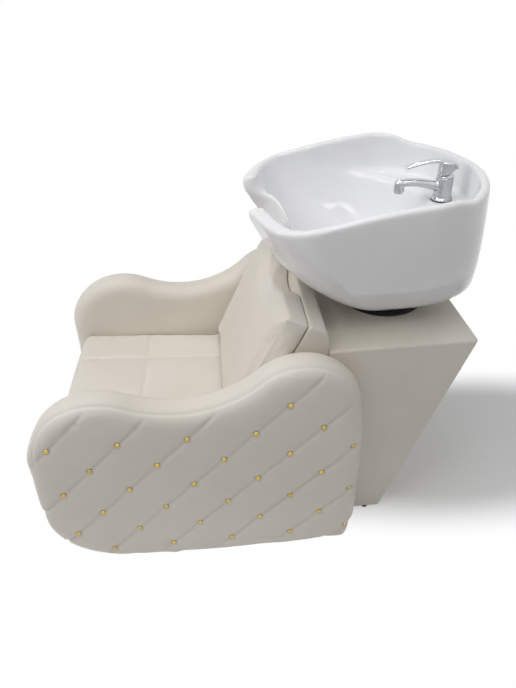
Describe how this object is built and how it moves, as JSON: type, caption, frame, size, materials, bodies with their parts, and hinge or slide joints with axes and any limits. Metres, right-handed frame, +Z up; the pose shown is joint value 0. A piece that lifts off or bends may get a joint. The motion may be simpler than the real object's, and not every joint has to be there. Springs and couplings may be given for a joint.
{
  "type": "backwash unit",
  "caption": "Salon backwash unit: quilted armchair in front of a slanted pedestal that carries a tilting ceramic basin with a single-lever mixer tap.",
  "frame": {"origin": "on the floor, at the centre of the unit's bounding box", "axes": "+X to the seated client's left, +Y from the client's feet towards the basin, +Z up"},
  "size_m": [0.67, 1.15, 1.0143],
  "materials": {
    "cushion_leather": "satin",
    "panel_leather": "satin",
    "plywood": "matte",
    "gold": "polished",
    "ceramic": "gloss",
    "chrome": "polished",
    "zinc": "satin",
    "rubber": "matte",
    "glide": "matte"
  },
  "bodies": {
    "base": {"left_arm_pad": "cushion_leather", "right_arm_pad": "cushion_leather", "seat_cushion": "cushion_leather", "back_cushion": "cushion_leather", "front_apron": "cushion_leather", "back_frame": "panel_leather", "pedestal_left_panel": "panel_leather", "pedestal_right_panel": "panel_leather", "pedestal_rear_panel": "panel_leather", "pedestal_front_panel": "panel_leather", "pedestal_top": "panel_leather", "left_arm_core": "plywood", "right_arm_core": "plywood", "seat_front_rail": "plywood", "seat_rear_rail": "plywood", "seat_left_rail": "plywood", "seat_right_rail": "plywood", "seat_board": "plywood", "left_arm_studs": "gold", "right_arm_studs": "gold", "rear_panel_screws": "zinc", "cradle_screws": "zinc", "left_pivot_angle": "zinc", "right_pivot_angle": "zinc", "pivot_bolts": "zinc", "pivot_nuts": "zinc", "base_ring": "rubber", "glides": "glide"},
    "basin": {"basin": "ceramic", "basin_bracket": "zinc", "bracket_bolts": "zinc", "waste_flange": "chrome", "waste_seal": "rubber", "waste_nut": "zinc", "waste_tail": "chrome", "tail_nut": "chrome", "tap_body": "chrome", "tap_gasket": "rubber", "tap_nut": "zinc", "aerator": "chrome", "spare_hole_cap": "chrome", "cap_nut": "zinc"},
    "cartridge": {"cartridge": "chrome"},
    "lever": {"tap_lever": "chrome"},
    "strainer": {"strainer": "chrome"}
  },
  "joints": [
    {"name": "basin_tilt", "type": "hinge", "parent": "base", "child": "basin", "pos_m": [0, 0.37, 0.596], "axis": [1, 0, 0], "range_deg": [-7, 4]},
    {"name": "tap_swivel", "type": "hinge", "parent": "basin", "child": "cartridge", "pos_m": [0, 0.493, 0.966], "axis": [0, 0, 1], "range_deg": [-45, 45]},
    {"name": "lever_lift", "type": "hinge", "parent": "cartridge", "child": "lever", "pos_m": [0, 0.493, 0.989], "axis": [-1, 0, 0], "range_deg": [0, 25]},
    {"name": "strainer_lift", "type": "slide", "parent": "basin", "child": "strainer", "axis": [0, 0, 1], "range_m": [0, 0.06]}
  ]
}
